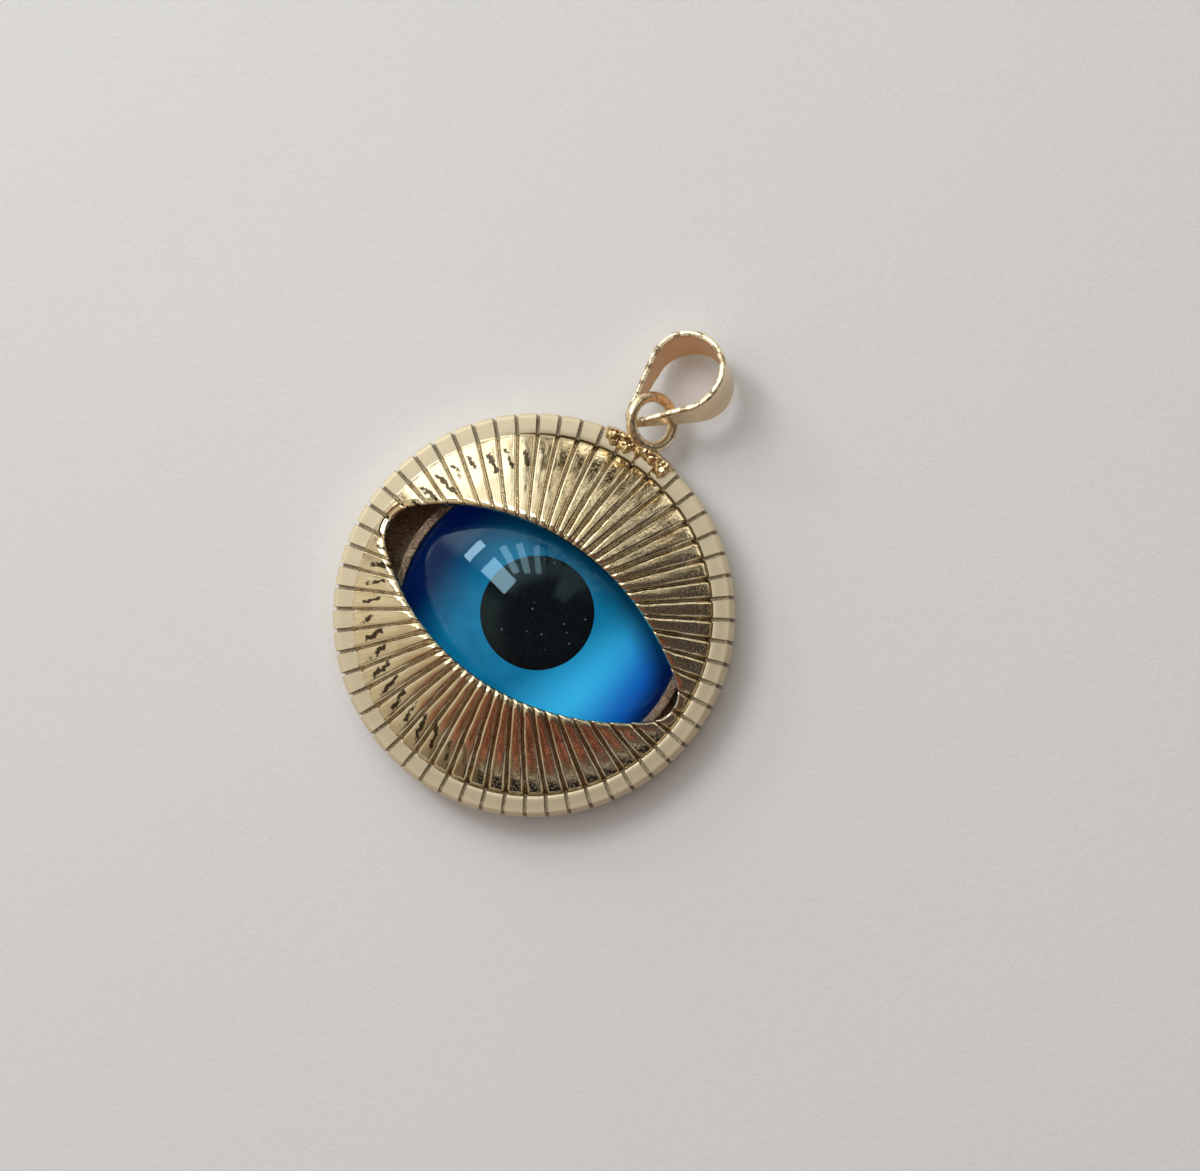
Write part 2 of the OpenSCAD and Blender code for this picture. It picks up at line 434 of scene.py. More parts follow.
def build_solder():
    """A rough lump of solder that runs over the band where the ring is joined."""
    rows, cols = 46, 130
    u = np.linspace(-1, 1, cols)
    v = np.linspace(0, 1, rows)
    U, V = np.meshgrid(u, v)
    turn = math.radians(SOLDER_TURN) - U * math.radians(SOLDER_HALF_TURN)
    r = lerp(9.05, 10.14, V)
    lump = smooth_noise(U * 7, V * 4, 31) * 0.6 + smooth_noise(U * 17, V * 9, 32) * 0.45
    inner = V + 0.2 * smooth_noise(U * 7, V * 0, 35)
    edge = ramp(1 - np.abs(U) ** 2, 0, 0.3) * ramp(inner, 0.05, 0.5)
    z = RIM_H - 0.12 + edge * (0.34 + 0.13 * lump)
    z = z - 0.5 * ramp(V, 0.86, 1.0) ** 2
    top = np.stack([r * np.cos(turn), r * np.sin(turn), z], -1).reshape(-1, 3)
    low = top.copy()
    low[:, 2] = SOLDER_FOOT
    points = np.concatenate([top, low])
    half = rows * cols
    faces = wrap_faces(rows, cols, False, False)
    faces += [tuple(half + i for i in reversed(f)) for f in faces]
    border = list(range(cols)) + [i * cols + cols - 1 for i in range(1, rows)]
    border += [(rows - 1) * cols + j for j in range(cols - 2, -1, -1)]
    border += [i * cols for i in range(rows - 2, 0, -1)]
    for a, b in zip(border, border[1:] + border[:1]):
        faces.append((b, a, half + a, half + b))
    return make_piece("solder", points, faces, ["case"], crease=80)


# Bail: a bent strip that tapers towards its tip

BAIL_L = 5.8
LOOP_R = 2.05
STRIP_T = 0.25
STRIP_W = 2.7
STRIP_EDGE = 0.1
TAPER_L = 4.4
HOLE_R = RING_R - WIRE_R
TIP_R = 0.515 * HOLE_R
TIP_W = 0.485 * HOLE_R
BAIL_ROLL = 15.2
BAIL_PITCH = 3.1
BAIL_AZ = 69.4
BAIL_TIP = (-1.271, 10.522, 2.068)


def bail_path(count):
    """Middle line of the strip, as points and outward directions."""
    big, small = LOOP_R - STRIP_T / 2, TIP_R - STRIP_T / 2
    loop_x = BAIL_L - LOOP_R
    lean = math.asin((LOOP_R - TIP_R) / (loop_x - TIP_R))
    points, outs = [], []
    for a in np.linspace(math.pi / 2 + lean, -math.pi / 2 - lean, count):
        points.append((loop_x + big * math.cos(a), big * math.sin(a)))
        outs.append((math.cos(a), math.sin(a)))
    low_big = np.array(points[-1])
    arc = np.linspace(-math.pi / 2 - lean, -3 * math.pi / 2 + lean, count // 3)
    tip = [(TIP_R + small * math.cos(a), small * math.sin(a)) for a in arc]
    for t in np.linspace(0, 1, count // 3)[1:-1]:
        points.append(tuple(lerp(low_big, np.array(tip[0]), t)))
        outs.append(outs[count - 1])
    for a, p in zip(arc, tip):
        points.append(p)
        outs.append((math.cos(a), math.sin(a)))
    for t in np.linspace(0, 1, count // 3)[1:-1]:
        points.append(tuple(lerp(np.array(tip[-1]), np.array(points[0]), t)))
        outs.append(outs[0])
    return np.array(points), np.array(outs)


def build_bail():
    points, outs = bail_path(90)
    x = points[:, 0] + outs[:, 0] * STRIP_T / 2
    half_w = (TIP_W + (STRIP_W - TIP_W) * np.clip(x / TAPER_L, 0, 1)) / 2
    half_t = STRIP_T / 2
    # Rounded section: share of the width, angle round the edge and side
    section = []
    for side in (1, -1):
        for f in np.linspace(-1, 1, 9) * side:
            section.append((f, 0.0, side))
        for a in (25, 50, 75, 90, 105, 130, 155):
            section.append((side, a, side))
    rows = []
    for f, a, side in section:
        if a == 0.0:
            w = f * (half_w - STRIP_EDGE)
            h = side * half_t * np.ones_like(half_w)
        else:
            w = side * (half_w - STRIP_EDGE + STRIP_EDGE * math.sin(math.radians(a)))
            h = side * half_t * math.cos(math.radians(a)) * np.ones_like(half_w)
            h = np.where(h < 0, h * 1.5, h)
        rows.append((w, h))
    w = np.stack([r[0] for r in rows])
    h = np.stack([r[1] for r in rows])
    local = np.stack([
        points[:, 0][None] + outs[:, 0][None] * h,
        points[:, 1][None] + outs[:, 1][None] * h,
        w,
    ], -1)
    place = Matrix.Rotation(math.radians(BAIL_AZ), 3, "Z")
    place = place @ Matrix.Rotation(math.radians(BAIL_PITCH), 3, "Y")
    place = place @ Matrix.Rotation(math.radians(-BAIL_ROLL), 3, "X")
    world = local.reshape(-1, 3) @ np.array(place).T + np.array(BAIL_TIP)
    inner = np.where(h < -0.1, 1.0, 0.0)
    edge = np.repeat([1.0 if a else 0.0 for _, a, _ in section], len(points))
    return make_piece(
        "bail_strip", world, wrap_faces(len(rows), len(points)), ["bail"], crease=60,
        attributes={"inner": inner.ravel(), "edge": edge},
    )


# Seat and glass

EYE_X = 0.5
GLASS_R = 7.05
GLASS_TOP = 5.0
SEAT_H = 2.05
SEAT_WALL = 0.5
GLASS_FOOT = 1.22
IRIS_FOOT = 0.73
IRIS_TOP = 1.25
PUPIL_FOOT = 1.16
PUPIL_TOP = 1.28
PUPIL_R = 2.5
PUPIL_AT = (EYE_X - 0.27, 0.19)
GIRDLE_Z = 1.95
GLASS_RISE = GLASS_TOP - GIRDLE_Z
GLASS_DOME_R = (GLASS_R ** 2 + GLASS_RISE ** 2) / (2 * GLASS_RISE)
SEAT_PLATE_TOP = 0.67


def build_seat():
    low, high = GLASS_R + 0.05, GLASS_R + 0.05 + SEAT_WALL
    top = SEAT_PLATE_TOP
    profile = [(0, 0), (4, 0), (8.0, 0), (9.05, 0), (9.12, 0.03), (9.15, 0.09)]
    profile += [(9.15, 0.58), (9.12, 0.64), (9.05, top), (8.6, top), (high + 0.1, top)]
    profile += [(high, top + 0.08), (high, 1.2), (high, SEAT_H - 0.14)]
    profile += [(high - 0.03, SEAT_H - 0.06), (high - 0.08, SEAT_H - 0.02)]
    profile += [(lerp(high - 0.14, low + 0.08, t), SEAT_H) for t in np.linspace(0, 1, 6)]
    profile += [(low + 0.03, SEAT_H - 0.03), (low + 0.01, SEAT_H - 0.1), (low, 1.2)]
    profile += [(low, top), (0, top)]
    piece = lathe("seat_plate", profile, (0, 0), 360, ["seat"], rough=0.008, seed=41)
    # The plate is centred on the case and the wall on the glass.
    mesh = piece.data
    co = np.zeros(len(mesh.vertices) * 3)
    mesh.vertices.foreach_get("co", co)
    co = co.reshape(-1, 3)
    reach = np.hypot(co[:, 0], co[:, 1]) / MM
    share = 1 - ramp(reach, high + 0.12, 8.5)
    co[:, 0] += EYE_X * MM * np.where(co[:, 2] > 0.3 * MM, share, 0)
    mesh.vertices.foreach_set("co", co.ravel())
    return piece


def build_glass():
    a_end = math.asin((GLASS_R - 0.06) / GLASS_DOME_R)
    profile = [(0, GLASS_FOOT), (3.5, GLASS_FOOT), (GLASS_R - 0.08, GLASS_FOOT)]
    profile += [(GLASS_R - 0.02, GLASS_FOOT + 0.03), (GLASS_R, GLASS_FOOT + 0.1)]
    profile += [(GLASS_R, GIRDLE_Z - 0.05), (GLASS_R - 0.01, GIRDLE_Z)]
    middle = GLASS_TOP - GLASS_DOME_R
    for a in np.linspace(a_end, 0, 40):
        profile.append((GLASS_DOME_R * math.sin(a), middle + GLASS_DOME_R * math.cos(a)))
    profile[-1] = (0, GLASS_TOP)
    return lathe("glass_dome", profile, (EYE_X, 0), 256, ["eye_glass"])


def rounded_disc(name, radius, foot, top, edge, centre, node):
    profile = [(0, foot), (radius * 0.5, foot), (radius - edge, foot)]
    for a in np.radians((30, 60, 90)):
        profile.append((radius - edge + edge * math.sin(a), foot + edge - edge * math.cos(a)))
    for a in np.radians((90, 60, 30, 0)):
        profile.append((radius - edge + edge * math.sin(a), top - edge + edge * math.cos(a)))
    profile += [(radius * 0.6, top), (radius * 0.3, top), (0, top)]
    return lathe(name, profile, centre, 192, [node])


# Shader helpers

class Value:
    """A number inside a node tree that can be used in sums."""

    def __init__(self, tree, socket):
        self.tree, self.socket = tree, socket

    def _op(self, kind, other=None, swap=False):
        node = self.tree.nodes.new("ShaderNodeMath")
        node.operation = kind
        first, second = (other, self) if swap else (self, other)
        for slot, item in enumerate((first, second)):
            if isinstance(item, Value):
                self.tree.links.new(item.socket, node.inputs[slot])
            elif item is not None:
                node.inputs[slot].default_value = item
        return Value(self.tree, node.outputs[0])

    def __add__(self, o): return self._op("ADD", o)
    def __radd__(self, o): return self._op("ADD", o)
    def __sub__(self, o): return self._op("SUBTRACT", o)
    def __rsub__(self, o): return self._op("SUBTRACT", o, True)
    def __mul__(self, o): return self._op("MULTIPLY", o)
    def __rmul__(self, o): return self._op("MULTIPLY", o)
    def __truediv__(self, o): return self._op("DIVIDE", o)
    def power(self, o): return self._op("POWER", o)
    def arctan2(self, o): return self._op("ARCTAN2", o)
    def arccos(self): return self._op("ARCCOSINE")
    def wrapped(self, o): return self._op("FLOORED_MODULO", o)
    def lesser(self, o): return self._op("MINIMUM", o)
    def greater(self, o): return self._op("MAXIMUM", o)
    def absolute(self): return self._op("ABSOLUTE")

    def spread(self, lo, hi, out_lo=0.0, out_hi=1.0):
        node = self.tree.nodes.new("ShaderNodeMapRange")
        node.interpolation_type = "SMOOTHSTEP"
        self.tree.links.new(self.socket, node.inputs[0])
        for slot, item in enumerate((lo, hi, out_lo, out_hi)):
            node.inputs[slot + 1].default_value = item
        return Value(self.tree, node.outputs[0])


def between(value, lo, hi, soft):
    """1 where value is between lo and hi, with soft edges."""
    return value.spread(lo - soft, lo + soft) * value.spread(hi - soft, hi + soft, 1.0, 0.0)


def new_material(name):
    material = bpy.data.materials.new(name)
    material.use_nodes = True
    tree = material.node_tree
    tree.nodes.clear()
    out = tree.nodes.new("ShaderNodeOutputMaterial")
    shader = tree.nodes.new("ShaderNodeBsdfPrincipled")
    tree.links.new(shader.outputs[0], out.inputs[0])
    return material, tree, shader


def join(tree, source, target):
    tree.links.new(source.socket if isinstance(source, Value) else source, target)


def coordinates(tree):
    """Object position in millimetres, as a vector socket."""
    node = tree.nodes.new("ShaderNodeTexCoord")
    scale = tree.nodes.new("ShaderNodeVectorMath")
    scale.operation = "SCALE"
    scale.inputs["Scale"].default_value = 1 / MM
    tree.links.new(node.outputs["Object"], scale.inputs[0])
    return scale.outputs[0]


def parts(tree, vector):
    node = tree.nodes.new("ShaderNodeSeparateXYZ")
    tree.links.new(vector, node.inputs[0])
    return [Value(tree, s) for s in node.outputs]


def combine(tree, x, y, z):
    node = tree.nodes.new("ShaderNodeCombineXYZ")
    for slot, item in enumerate((x, y, z)):
        if isinstance(item, Value):
            tree.links.new(item.socket, node.inputs[slot])
        else:
            node.inputs[slot].default_value = item
    return node.outputs[0]


def noise(tree, vector, scale, detail=2.0, rough=0.5):
    node = tree.nodes.new("ShaderNodeTexNoise")
    tree.links.new(vector, node.inputs["Vector"])
    node.inputs["Scale"].default_value = scale
    node.inputs["Detail"].default_value = detail
    node.inputs["Roughness"].default_value = rough
    return Value(tree, node.outputs["Fac"])


def attribute(tree, name):
    node = tree.nodes.new("ShaderNodeAttribute")
    node.attribute_name = name
    return node


def mixed(tree, share, first, second):
    """Colour between two colours or sockets."""
    node = tree.nodes.new("ShaderNodeMix")
    node.data_type = "RGBA"
    join(tree, share, node.inputs[0])
    for slot, item in ((6, first), (7, second)):
        if isinstance(item, (tuple, list)):
            node.inputs[slot].default_value = (*item, 1)
        else:
            tree.links.new(item, node.inputs[slot])
    return node.outputs[2]


def bump(tree, shader, height, distance):
    node = tree.nodes.new("ShaderNodeBump")
    node.inputs["Strength"].default_value = 1.0
    node.inputs["Distance"].default_value = distance * MM
    join(tree, height, node.inputs["Height"])
    tree.links.new(node.outputs[0], shader.inputs["Normal"])


# Golds that several materials or mixes share
PALE_GOLD = (0.84, 0.74, 0.53)
DEEP_GOLD = (0.78, 0.65, 0.43)
DARK_GOLD = (0.22, 0.14, 0.07)


def case_material():
    material, tree, shader = new_material("fluted_gold")
    where = coordinates(tree)
    lane = parts(tree, attribute(tree, "lane").outputs["Vector"])
    cut = Value(tree, attribute(tree, "cut").outputs["Fac"])
    rim = Value(tree, attribute(tree, "rim").outputs["Fac"])
    streak = noise(tree, combine(tree, lane[0] * 22, lane[1] * 0.8, lane[2]), 1.0, 3, 0.6)
    swell = noise(tree, combine(tree, lane[0] * 2.4, lane[1] * 1.1, lane[2]), 1.0, 2, 0.5)
    grit = noise(tree, where, 14, 3, 0.6)
    cloud = noise(tree, where, 0.9, 3, 0.5)
    tint = mixed(tree, cloud.spread(0.35, 0.7), PALE_GOLD, DEEP_GOLD)
    tint = mixed(tree, rim.lesser(1.0), tint, (0.70, 0.61, 0.43))
    tint = mixed(tree, streak.spread(0.5, 0.72) * (1 - rim) * 0.4, tint, DARK_GOLD)
    # The cut attribute darkens the grooves (grime in them) and paints shade into the crease at
    # the step; the opening's wall and the inner edge of the upper lid are darker too
    grooves_and_painted_shade = cut.spread(0.45, 0.95) * (0.35 + grit.spread(0.42, 0.62) * 0.5)
    tint = mixed(tree, grooves_and_painted_shade, tint, (0.10, 0.07, 0.045))
    join(tree, 1.0 - rim * 0.4, shader.inputs["Metallic"])
    join(tree, 0.045 + streak * 0.03 + cut * 0.1 + rim * 0.4, shader.inputs["Roughness"])
    # Jagged dark strokes across the plates on the left, pits on the other plates
    x, y, _ = parts(tree, where)
    left = math.radians(BLEND_SIDE)
    leftness = (x * math.cos(left) + y * math.sin(left)) / lane[1]
    pits = noise(tree, where, 7.5, 2, 0.5).spread(0.54, 0.66)
    pits = pits * leftness.spread(0.25, -0.25) * (1 - rim)
    tint = mixed(tree, pits * 0.55, tint, (0.16, 0.11, 0.07))
    ragged = noise(tree, combine(tree, lane[0] * 2.5, lane[1] * 2.2, lane[2]), 1.0, 3, 0.6)
    stroke = lane[0] - 0.42 - (lane[1] - 7.8) * 0.32 + (ragged - 0.5) * 0.6
    stroke = stroke.absolute().spread(0.13, 0.08) * cloud.spread(0.36, 0.44)
    stroke = stroke * between(lane[1] + (cloud - 0.5) * 2.0, 7.2, 8.3, 0.05)
    stroke = stroke * leftness.spread(0.0, 0.35) * (1 - rim)
    tint = mixed(tree, stroke * 0.95, tint, (0.035, 0.024, 0.014))
    join(tree, tint, shader.inputs["Base Color"])
    height = swell + streak * 0.18 + grit * (0.04 + cut * 1.1) - pits * 0.35
    bump(tree, shader, height, 0.012)
    return material


def bail_material():
    material, tree, shader = new_material("bail_gold")
    where = coordinates(tree)
    inner = Value(tree, attribute(tree, "inner").outputs["Fac"])
    cloud = noise(tree, where, 1.7, 3, 0.5)
    grit = noise(tree, where, 8, 4, 0.6)
    tint = mixed(tree, cloud.spread(0.35, 0.7), (0.88, 0.70, 0.46), (0.82, 0.61, 0.37))
    edge = Value(tree, attribute(tree, "edge").outputs["Fac"])
    # Painted warm reflection: the inner face is tinted coppery for light bounced between the
    # strip's faces
    tint = mixed(tree, inner, tint, (0.80, 0.52, 0.29))
    tint = mixed(tree, edge, tint, (0.93, 0.83, 0.58))
    worn = noise(tree, where, 2.2, 3, 0.6).spread(0.52, 0.57)
    tint = mixed(tree, edge * worn * 0.8, tint, DARK_GOLD)
    join(tree, tint, shader.inputs["Base Color"])
    join(tree, 0.75 - inner * 0.3, shader.inputs["Metallic"])
    join(tree, 0.14 + inner * 0.2 + grit * 0.08 - edge * 0.08, shader.inputs["Roughness"])
    bump(tree, shader, grit * (0.4 + edge * 1.6), 0.012)
    return material


def specks(tree, where, scale, size, keep):
    """Small round specks, one in each kept cell."""
    node = tree.nodes.new("ShaderNodeTexVoronoi")
    tree.links.new(where, node.inputs["Vector"])
    node.inputs["Scale"].default_value = scale
    near = Value(tree, node.outputs["Distance"])
    pick = parts(tree, node.outputs["Color"])[0]
    return near.spread(size * scale, size * scale * 0.5) * pick.spread(1 - keep, 1.02 - keep)


def plain_gold(name, colour, second, roughness, grit_size, grit_depth,
               dark=0.0, metallic=1.0, speck=0.0):
    """Gold of two clouded tints with grit, dark patches and bright specks."""
    material, tree, shader = new_material(name)
    shader.inputs["Metallic"].default_value = metallic
    where = coordinates(tree)
    grit = noise(tree, where, grit_size, 4, 0.6)
    cloud = noise(tree, where, 1.7, 3, 0.5)
    tint = mixed(tree, cloud.spread(0.35, 0.7), colour, second)
    if dark:
        tint = mixed(tree, grit.spread(0.5, 0.62) * dark, tint, DARK_GOLD)
    if speck:
        tint = mixed(tree, specks(tree, where, 8, 0.05, 0.45) * speck, tint, (0.95, 0.85, 0.62))
    join(tree, tint, shader.inputs["Base Color"])
    join(tree, roughness + grit * 0.1 + cloud * 0.05, shader.inputs["Roughness"])
    bump(tree, shader, grit, grit_depth)
    return material


def iris_material():
    material, tree, shader = new_material("blue_enamel")
    where = coordinates(tree)
    x, y, _ = parts(tree, where)
    x = x - EYE_X
    turn = math.radians(VIEW_TURN)
    # Right and up as the photo is turned
    right = x * math.cos(turn) + y * math.sin(turn)
    up = y * math.cos(turn) - x * math.sin(turn)
    teal, sky = (0.004, 0.185, 0.37), (0.045, 0.56, 1.0)
    royal, navy = (0.003, 0.10, 0.56), (0.0005, 0.006, 0.07)
    # Painted pool of light: sky blue towards the lower right, where light through the glass
    # gathers, teal elsewhere
    side = (right * 0.57 - up * 0.82).spread(1.2, 4.0)
    tint = mixed(tree, side, teal, sky)
    cloud = noise(tree, where, 1.2, 2, 0.5)
    tint = mixed(tree, cloud.spread(0.3, 0.8) * 0.1, tint, sky)
    tint = mixed(tree, x.spread(3.0, 5.8) * 0.92, tint, royal)
    # Painted shadow of the upper lid, and darker towards both corners: a printed dark edge with
    # painted shade from the lids
    lid_x, lid_y = x + EYE_X, y + LID_DROP
    lid = LID_R - (lid_x * lid_x + lid_y * lid_y).power(0.5)
    tint = mixed(tree, lid.spread(2.0, 0.3) * 0.92, tint, (0.0006, 0.02, 0.05))
    tint = mixed(tree, (0.0 - x).spread(2.4, 5.6) * 0.97, tint, navy)
    tint = mixed(tree, x.spread(5.3, 6.8), tint, navy)
    join(tree, tint, shader.inputs["Base Color"])
    # Painted glow: the enamel gives off light in its own colour, standing in for the light that
    # reaches it through the glass
    join(tree, tint, shader.inputs["Emission Color"])
    shader.inputs["Emission Strength"].default_value = 0.38
    shader.inputs["Roughness"].default_value = 0.6
    shader.inputs["Specular IOR Level"].default_value = 0.0
    return material


def pupil_material():
    material, tree, shader = new_material("black_enamel")
    where = coordinates(tree)
    grain = noise(tree, where, 6, 3, 0.6)
    tint = mixed(tree, grain.spread(0.4, 0.7), (0.003, 0.003, 0.005), (0.008, 0.008, 0.011))
    tint = mixed(tree, specks(tree, where, 3.2, 0.035, 0.5), tint, (0.5, 0.55, 0.6))
    join(tree, tint, shader.inputs["Base Color"])
    shader.inputs["Roughness"].default_value = 0.5
    shader.inputs["Specular IOR Level"].default_value = 0.0
    return material


def glass_material():
    material, tree, shader = new_material("clear_dome")
    where = coordinates(tree)
    smear = noise(tree, where, 2.5, 3, 0.6)
    shader.inputs["Base Color"].default_value = (0.93, 0.97, 1.0, 1)
    shader.inputs["Transmission Weight"].default_value = 1.0
    shader.inputs["IOR"].default_value = 1.5
    shader.inputs["Specular IOR Level"].default_value = 0.25
    shader.inputs["Specular Tint"].default_value = (0.44, 0.74, 0.88, 1)
    join(tree, smear.spread(0.55, 0.8) * 0.02, shader.inputs["Roughness"])
    return material


def floor_material():
    material, tree, shader = new_material("pale_floor")
    where = coordinates(tree)
    fleck = noise(tree, where, 3.0, 5, 0.7)
    cloud = noise(tree, where, 0.05, 2, 0.5)
    tint = mixed(tree, cloud, (0.715, 0.722, 0.742), (0.74, 0.746, 0.766))
    tint = mixed(tree, fleck.spread(0.5, 0.8) * 0.12, tint, (0.65, 0.65, 0.665))
    join(tree, tint, shader.inputs["Base Color"])
    shader.inputs["Roughness"].default_value = 0.7
    bump(tree, shader, fleck, 0.03)
    return material


# Studio: floor, world, window panes and camera

def direction(photo_turn, polar):
    """Unit vector at an angle of the photo and an angle from straight up."""
    a, p = math.radians(photo_turn + VIEW_TURN), math.radians(polar)
    return Vector((math.sin(p) * math.cos(a), math.sin(p) * math.sin(a), math.cos(p)))


# Radiance at full colour in the world
SKY_TOP = 4.0


def radiance(*colour):
    """Radiance as the world's colour."""
    return tuple(c / SKY_TOP for c in colour)


def build_world():
    world = bpy.data.worlds.new("studio")
    bpy.context.scene.world = world
    world.use_nodes = True
    tree = world.node_tree
    tree.nodes.clear()
    out = tree.nodes.new("ShaderNodeOutputWorld")
    back = tree.nodes.new("ShaderNodeBackground")
    tree.links.new(back.outputs[0], out.inputs[0])
    source = tree.nodes.new("ShaderNodeTexCoord")
    x, y, z = parts(tree, source.outputs["Generated"])
    polar = z.lesser(1.0).greater(-1.0).arccos() * math.degrees(1)
    turn = (y.arctan2(x) * math.degrees(1) - VIEW_TURN).wrapped(360.0)

    def sky_ramp(stops):
        node = tree.nodes.new("ShaderNodeValToRGB")
        join(tree, turn / 360.0, node.inputs[0])
        while len(node.color_ramp.elements) < len(stops):
            node.color_ramp.elements.new(0.5)
        for element, (at, *colour) in zip(node.color_ramp.elements, stops):
            element.position = at / 360
            element.color = (*radiance(*colour), 1)
        return node.outputs[0]

    middle = sky_ramp([
        (0, 0.085, 0.07, 0.065),
        (18, 0.10, 0.085, 0.075),
        (33, 0.36, 0.34, 0.29),
        (47, 0.50, 0.47, 0.39),
        (60, 0.56, 0.52, 0.41),
        (86, 0.85, 0.80, 0.64),
        (100, 1.3, 1.3, 1.2),
        (139, 1.3, 1.3, 1.2),
        (145, 0.16, 0.15, 0.13),
        (160, 0.70, 0.65, 0.53),
        (182, 0.68, 0.61, 0.48),
        (205, 0.48, 0.41, 0.31),
        (225, 0.26, 0.15, 0.10),
        (250, 0.14, 0.052, 0.031),
        (300, 0.09, 0.042, 0.028),
        (330, 0.09, 0.075, 0.068),
        (359, 0.085, 0.07, 0.065),
    ])
    low = sky_ramp([
        (0, 0.07, 0.058, 0.052),
        (22, 0.09, 0.08, 0.07),
        (34, 0.22, 0.20, 0.17),
        (50, 0.22, 0.20, 0.16),
        (60, 0.10, 0.08, 0.05),
        (92, 0.10, 0.08, 0.05),
        (104, 2.0, 2.0, 1.85),
        (139, 2.0, 2.0, 1.85),
        (146, 0.40, 0.37, 0.31),
        (163, 0.62, 0.57, 0.46),
        (171, 0.80, 0.73, 0.60),
        (205, 0.55, 0.49, 0.38),
        (235, 0.18, 0.14, 0.10),
        (310, 0.12, 0.10, 0.08),
        (335, 0.07, 0.065, 0.06),
        (359, 0.07, 0.058, 0.052),
    ])
    colour = mixed(tree, polar.spread(68, 73), middle, low)
    ripple = noise(tree, source.outputs["Generated"], 9.0, 4, 0.6)
    wavy = polar + (ripple - 0.5) * 10
    patch = noise(tree, source.outputs["Generated"], 14.0, 1, 0.5)
    flame = noise(tree, combine(tree, x * 14, y * 14, z * 5), 1.0, 3, 0.6)
    embers = between(turn, 218, 318, 10) * between(polar, 38, 74, 4)
    bright, dim = embers * flame.spread(0.5, 0.57), embers * flame.spread(0.47, 0.41)
    colour = mixed(tree, bright, colour, radiance(0.35, 0.135, 0.095))
    colour = mixed(tree, dim, colour, radiance(0.10, 0.04, 0.025))
    mottle = between(turn, 26, 100, 8) * between(polar, 34, 86, 4)
    bright, dim = mottle * flame.spread(0.53, 0.58), mottle * flame.spread(0.46, 0.42)
    colour = mixed(tree, bright, colour, radiance(1.0, 0.95, 0.80))
    colour = mixed(tree, dim, colour, radiance(0.06, 0.045, 0.03))
    near_side = between(turn, 246, 314, 5)
    grey_ring = between(wavy, 76.5, 80.2, 0.8) * near_side * patch.spread(0.36, 0.46)
    colour = mixed(tree, grey_ring, colour, radiance(0.36, 0.35, 0.31))
    black_ring = between(polar, 80.0, 95, 0.3) * near_side
    colour = mixed(tree, black_ring, colour, radiance(0.015, 0.014, 0.016))
    strip = between(polar, 16, 38, 3) * between(turn, 44, 72, 5)
    glow = between(polar, 83.5, 100, 1.0) * between(turn, 15, 85, 6)
    colour = mixed(tree, glow, colour, radiance(1.7, 1.6, 1.35))
    overhead = polar.spread(20, 34, 1.0, 0.0)
    colour = mixed(tree, overhead, colour, radiance(0.16, 0.155, 0.15))
    colour = mixed(tree, strip, colour, radiance(0.8, 0.77, 0.7))
    tree.links.new(colour, back.inputs[0])
    back.inputs[1].default_value = SKY_TOP


def build_window():
    """Panes of a window as soft rectangular lights, upper left of the camera: name,
    angle of the photo, angle from straight up, width, height and radiance."""
    panes = [
        ("pane_a", 136, 40, 40, 84, 8.5),
        ("pane_b", 121, 44, 15, 78, 5.0),
        ("pane_c", 110, 41, 15, 78, 4.0),
        ("pane_d", 98, 38, 13, 70, 3.0),
        ("pane_e", 136, 64, 44, 24, 11.5),
    ]
    distance = 220
    for name, turn, polar, width, height, strength in panes:
        add_light(name, direction(turn, polar) * distance, width, height, strength)
    fill = add_light("fill", direction(120, 14) * 420, 560, 560, 0.62)
    fill.visible_glossy = False


def add_light(name, place, width, height, strength):
    """Rectangular light that faces the object, its radiance in the world's units."""
    light = bpy.data.lights.new(name, "AREA")
    light.shape = "RECTANGLE"
    light.size, light.size_y = width * MM, height * MM
    light.energy = strength * math.pi * width * height * MM * MM
    light.color = (0.97, 0.985, 1.0)
    holder = bpy.data.objects.new(name, light)
    bpy.context.scene.collection.objects.link(holder)
    holder.location = (place + Vector((0, 0, 3))) * MM
    holder.rotation_mode = "QUATERNION"
    holder.rotation_quaternion = place.to_track_quat("Z", "Y")
    holder.visible_camera = False
    return holder


def build_floor(low):
    half = 900
    points = [(-half, -half, low), (half, -half, low), (half, half, low), (-half, half, low)]
    mesh = bpy.data.meshes.new("floor")
    mesh.from_pydata([Vector(p) * MM for p in points], [], [(0, 1, 2, 3)])
    floor = bpy.data.objects.new("floor", mesh)
    bpy.context.scene.collection.objects.link(floor)
    floor.data.materials.append(floor_material())


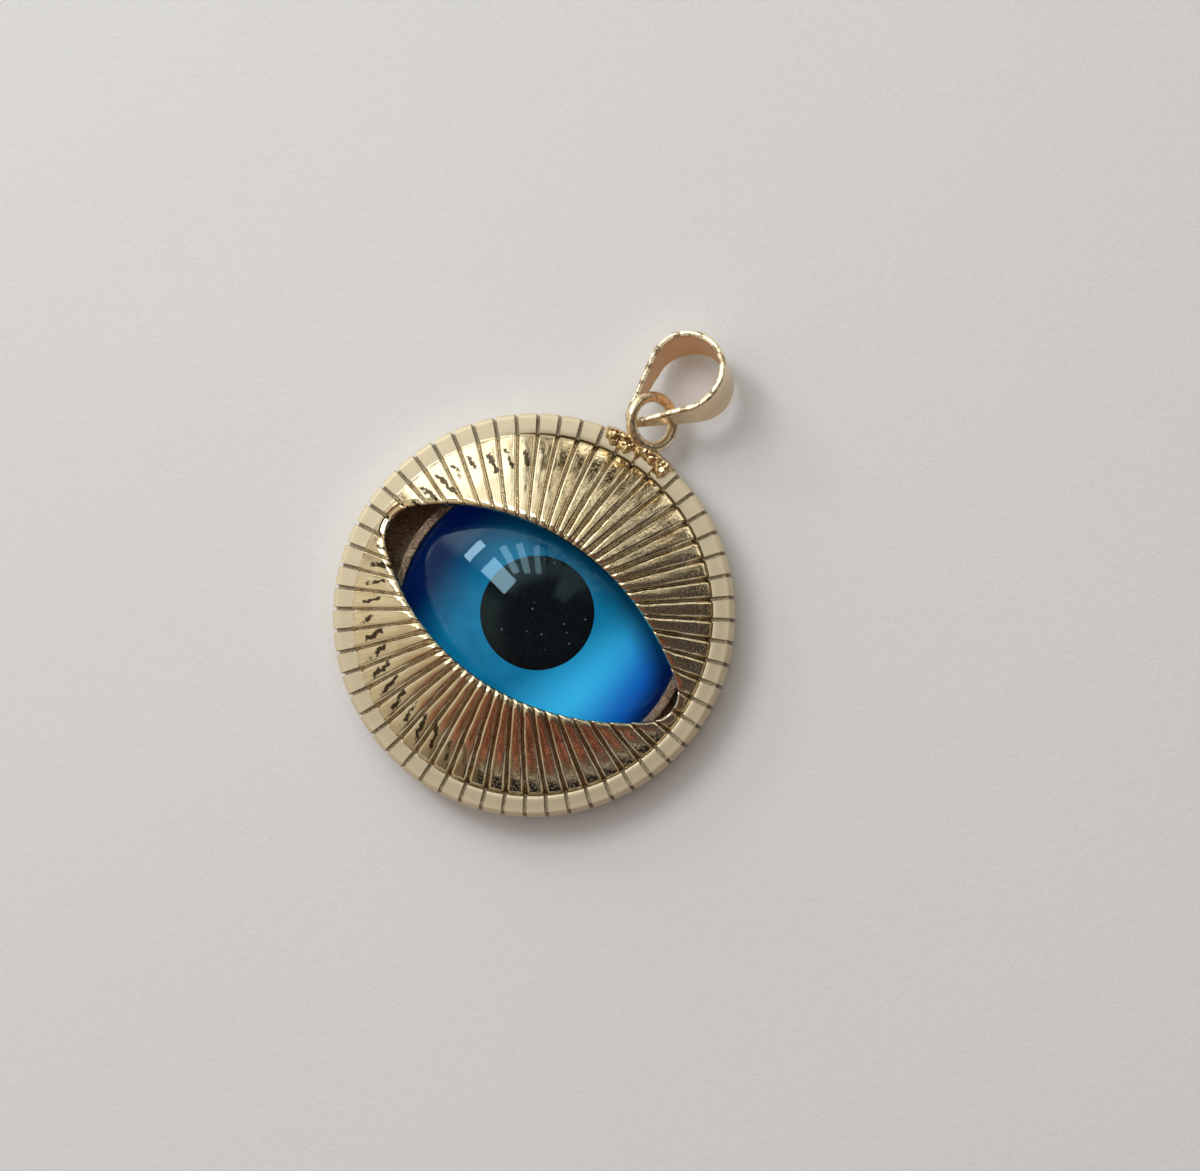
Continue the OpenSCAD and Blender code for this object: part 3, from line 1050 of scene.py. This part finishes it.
def build_camera():
    """The photo's view: scale is its pixels for each millimetre at the target."""
    distance, scale, width = 150.0, 20.13, 1200
    target = Vector((1.94, 3.04, 1.1))
    lift, around = math.radians(83.5), math.radians(5.3)
    flat = math.cos(lift)
    away = Vector((flat * math.cos(around), flat * math.sin(around), math.sin(lift)))
    turn = math.radians(VIEW_TURN)
    right = Vector((math.cos(turn), math.sin(turn), 0))
    right = (right - away * right.dot(away)).normalized()
    up = away.cross(right)
    data = bpy.data.cameras.new("camera")
    data.sensor_fit = "HORIZONTAL"
    data.sensor_width = 36
    data.lens = scale * distance / width * data.sensor_width
    data.clip_start, data.clip_end = 0.005, 10
    camera = bpy.data.objects.new("camera", data)
    bpy.context.scene.collection.objects.link(camera)
    camera.matrix_world = Matrix.Translation((target + away * distance) * MM) @ Matrix((
        (right.x, up.x, away.x, 0),
        (right.y, up.y, away.y, 0),
        (right.z, up.z, away.z, 0),
        (0, 0, 0, 1),
    ))
    bpy.context.scene.camera = camera


def dress(piece, material):
    piece.data.materials.clear()
    piece.data.materials.append(material)


build_camera()
bpy.context.scene.view_settings.view_transform = "Standard"
dress(build_case(), case_material())
dress(build_ring(), plain_gold(
    "ring_gold", (0.95, 0.84, 0.60), (0.84, 0.64, 0.38), 0.05, 4, 0.03, dark=0.55, metallic=0.85,
))
dress(build_solder(), plain_gold(
    "solder_gold", (0.86, 0.70, 0.42), (0.62, 0.45, 0.24), 0.14, 4, 0.05, dark=0.6,
))
dress(build_bail(), bail_material())
dress(build_seat(), plain_gold(
    "seat_gold", (0.52, 0.39, 0.29), (0.40, 0.27, 0.20), 0.22, 9, 0.12, dark=0.95, speck=0.8,
))
dress(build_glass(), glass_material())
dress(rounded_disc(
    "iris_disc", GLASS_R, IRIS_FOOT, IRIS_TOP, 0.05, (EYE_X, 0), "iris",
), iris_material())
dress(rounded_disc(
    "pupil_disc", PUPIL_R, PUPIL_FOOT, PUPIL_TOP, 0.03, PUPIL_AT, "pupil",
), pupil_material())
build_world()
build_window()
build_floor(cad_lo.z / MM - 0.01)

bpy.context.view_layer.update()
